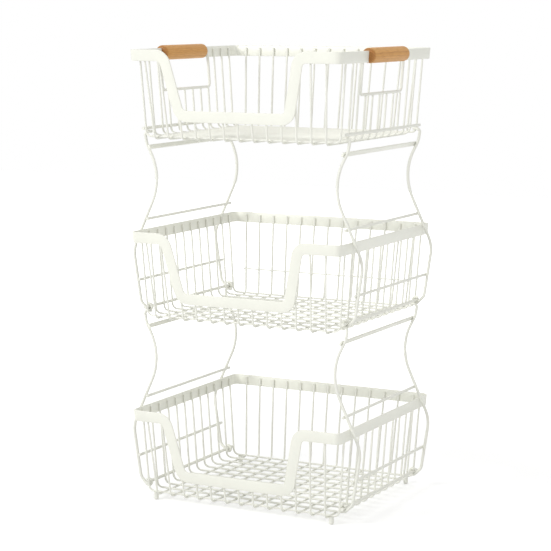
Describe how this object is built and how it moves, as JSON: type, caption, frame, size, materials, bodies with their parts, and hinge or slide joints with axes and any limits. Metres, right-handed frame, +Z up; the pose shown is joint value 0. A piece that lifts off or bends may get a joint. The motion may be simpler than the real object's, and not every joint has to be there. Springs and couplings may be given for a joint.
{
  "type": "three-tier fruit basket stand",
  "caption": "Free-standing stand of three open wire baskets over each other, joined by folding side frames, with a front scoop in each basket and wooden grips on the top one.",
  "frame": {"origin": "on the table, under the middle of the stand's bounding box", "axes": "+Z up, the front with the scoops faces -Y, +X to the right as seen from the front"},
  "size_m": [0.3522, 0.2938, 0.6286],
  "materials": {
    "coated_strip": "warm white powder coat on flat steel, satin",
    "coated_wire": "warm white powder coat on steel wire, satin",
    "oak": "light oak, oiled",
    "foot_cap": "warm white powder coat, satin"
  },
  "bodies": {
    "bottom_basket": {"bottom_rim": "coated_strip", "bottom_front_plate": "coated_strip", "bottom_long_wires": "coated_wire", "bottom_cross_wires": "coated_wire", "bottom_front_wires": "coated_wire", "bottom_back_wires": "coated_wire", "bottom_left_wires": "coated_wire", "bottom_right_wires": "coated_wire", "bottom_side_rods": "coated_wire", "feet": "foot_cap"},
    "middle_basket": {"middle_rim": "coated_strip", "middle_front_plate": "coated_strip", "middle_long_wires": "coated_wire", "middle_cross_wires": "coated_wire", "middle_front_wires": "coated_wire", "middle_back_wires": "coated_wire", "middle_left_wires": "coated_wire", "middle_right_wires": "coated_wire", "middle_side_rods": "coated_wire", "middle_thin_wire": "coated_wire"},
    "top_basket": {"top_rim": "coated_strip", "top_front_plate": "coated_strip", "top_long_wires": "coated_wire", "top_cross_wires": "coated_wire", "top_front_wires": "coated_wire", "top_back_wires": "coated_wire", "top_left_wires": "coated_wire", "top_right_wires": "coated_wire", "top_side_rods": "coated_wire", "left_grip": "oak", "right_grip": "oak", "left_u_wire": "coated_wire", "right_u_wire": "coated_wire"},
    "lower_left_frame": {"lower_left_front_wire": "coated_wire", "lower_left_rear_wire": "coated_wire", "lower_left_flat_bar": "coated_strip", "lower_left_low_bar": "coated_wire", "lower_left_middle_bar": "coated_wire"},
    "lower_right_frame": {"lower_right_front_wire": "coated_wire", "lower_right_rear_wire": "coated_wire", "lower_right_flat_bar": "coated_strip", "lower_right_low_bar": "coated_wire", "lower_right_middle_bar": "coated_wire"},
    "upper_left_frame": {"upper_left_front_wire": "coated_wire", "upper_left_rear_wire": "coated_wire", "upper_left_flat_bar": "coated_strip", "upper_left_low_bar": "coated_wire", "upper_left_middle_bar": "coated_wire"},
    "upper_right_frame": {"upper_right_front_wire": "coated_wire", "upper_right_rear_wire": "coated_wire", "upper_right_flat_bar": "coated_strip", "upper_right_low_bar": "coated_wire", "upper_right_middle_bar": "coated_wire"}
  },
  "joints": [
    {"name": "lower_left_fold", "type": "hinge", "parent": "bottom_basket", "child": "lower_left_frame", "pos_m": [-0.15156, 0, 0.022], "axis": [0, -1, 0], "range_deg": [0, 85]},
    {"name": "lower_right_fold", "type": "hinge", "parent": "bottom_basket", "child": "lower_right_frame", "pos_m": [0.15156, 0, 0.022], "axis": [0, 1, 0], "range_deg": [0, 85]},
    {"name": "middle_lift", "type": "slide", "parent": "bottom_basket", "child": "middle_basket", "axis": [0, 0, 1], "range_m": [0, 0.06]},
    {"name": "upper_left_fold", "type": "hinge", "parent": "middle_basket", "child": "upper_left_frame", "pos_m": [-0.15156, 0, 0.2695], "axis": [0, -1, 0], "range_deg": [0, 85]},
    {"name": "upper_right_fold", "type": "hinge", "parent": "middle_basket", "child": "upper_right_frame", "pos_m": [0.15156, 0, 0.2695], "axis": [0, 1, 0], "range_deg": [0, 85]},
    {"name": "top_lift", "type": "slide", "parent": "middle_basket", "child": "top_basket", "axis": [0, 0, 1], "range_m": [0, 0.06]}
  ]
}
